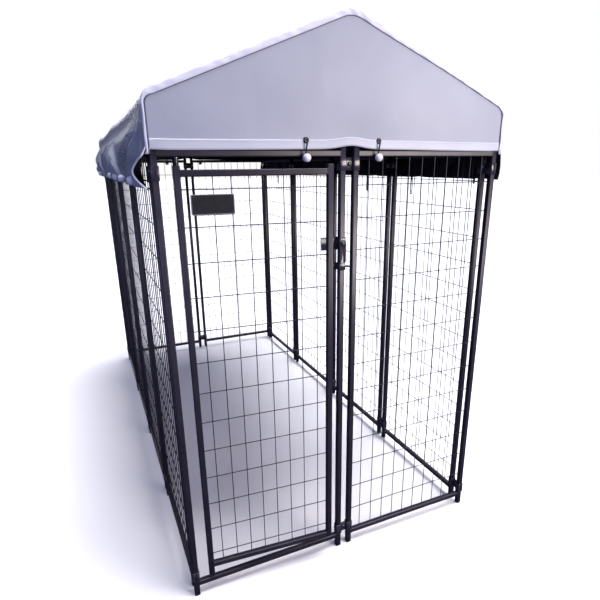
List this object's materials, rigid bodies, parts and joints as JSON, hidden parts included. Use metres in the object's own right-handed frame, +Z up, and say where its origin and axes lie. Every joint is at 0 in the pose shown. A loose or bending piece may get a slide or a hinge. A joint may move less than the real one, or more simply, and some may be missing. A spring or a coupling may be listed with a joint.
{
  "type": "dog kennel",
  "caption": "Walk-in welded-wire dog kennel of clamped flat panels, with a hinged door, a turn latch, a peaked fabric roof on bent bows and ball bungees.",
  "frame": {"origin": "on the ground, under the middle of the kennel's bounding box", "axes": "+Z up, +X to the right seen from the door, +Y from the door to the back"},
  "size_m": [1.2776, 2.5332, 1.8493],
  "materials": {
    "powder_coated_steel": "charcoal black powder coat on welded steel tube and wire, half gloss",
    "clamp_steel": "black powder coat on pressed steel, half gloss",
    "roof_pole_steel": "dark powder coat on round steel tube",
    "sign_plastic": "black moulded plate, bare",
    "cover_fabric": "silver grey coated woven cloth, black inside",
    "bungee_ball": "pearl white moulded ball on a dark elastic cord"
  },
  "bodies": {
    "kennel": {"front_door_frame": "powder_coated_steel", "front_panel": "powder_coated_steel", "back_panel_1": "powder_coated_steel", "back_panel_2": "powder_coated_steel", "left_panel_1": "powder_coated_steel", "left_panel_2": "powder_coated_steel", "left_panel_3": "powder_coated_steel", "left_panel_4": "powder_coated_steel", "right_panel_1": "powder_coated_steel", "right_panel_2": "powder_coated_steel", "right_panel_3": "powder_coated_steel", "right_panel_4": "powder_coated_steel", "clamp_front_top": "clamp_steel", "clamp_front_bottom": "clamp_steel", "clamp_back_top": "clamp_steel", "clamp_back_bottom": "clamp_steel", "clamp_left_front_top": "clamp_steel", "clamp_left_front_bottom": "clamp_steel", "clamp_left_1_top": "clamp_steel", "clamp_left_1_bottom": "clamp_steel", "clamp_left_2_top": "clamp_steel", "clamp_left_2_bottom": "clamp_steel", "clamp_left_3_top": "clamp_steel", "clamp_left_3_bottom": "clamp_steel", "clamp_left_back_top": "clamp_steel", "clamp_left_back_bottom": "clamp_steel", "clamp_right_front_top": "clamp_steel", "clamp_right_front_bottom": "clamp_steel", "clamp_right_1_top": "clamp_steel", "clamp_right_1_bottom": "clamp_steel", "clamp_right_2_top": "clamp_steel", "clamp_right_2_bottom": "clamp_steel", "clamp_right_3_top": "clamp_steel", "clamp_right_3_bottom": "clamp_steel", "clamp_right_back_top": "clamp_steel", "clamp_right_back_bottom": "clamp_steel", "hinge_pin_bottom": "roof_pole_steel", "hinge_pin_top": "roof_pole_steel", "latch_bracket": "clamp_steel", "latch_staple": "clamp_steel", "latch_pivot_bolt": "clamp_steel", "roof_bow_front": "roof_pole_steel", "roof_bow_middle": "roof_pole_steel", "roof_bow_back": "roof_pole_steel", "ridge_pole": "roof_pole_steel", "eave_pole_left": "roof_pole_steel", "eave_pole_right": "roof_pole_steel", "roof_cover": "cover_fabric", "bungee_front_1": "bungee_ball", "bungee_front_2": "bungee_ball", "bungee_back_1": "bungee_ball", "bungee_back_2": "bungee_ball", "bungee_left_1": "bungee_ball", "bungee_left_2": "bungee_ball", "bungee_right_1": "bungee_ball", "bungee_right_2": "bungee_ball"},
    "door": {"door_leaf": "powder_coated_steel", "sign_plate": "sign_plastic"},
    "latch": {"latch_lever": "clamp_steel"}
  },
  "joints": [
    {"name": "door_hinge", "type": "hinge", "parent": "kennel", "child": "door", "pos_m": [-0.522, -1.2218, 0.75], "axis": [0, 0, -1], "range_deg": [-4.5, 135]},
    {"name": "latch_turn", "type": "hinge", "parent": "kennel", "child": "latch", "pos_m": [-0.023, -1.2438, 1.1925], "axis": [0, 1, 0], "range_deg": [0, 90]}
  ]
}
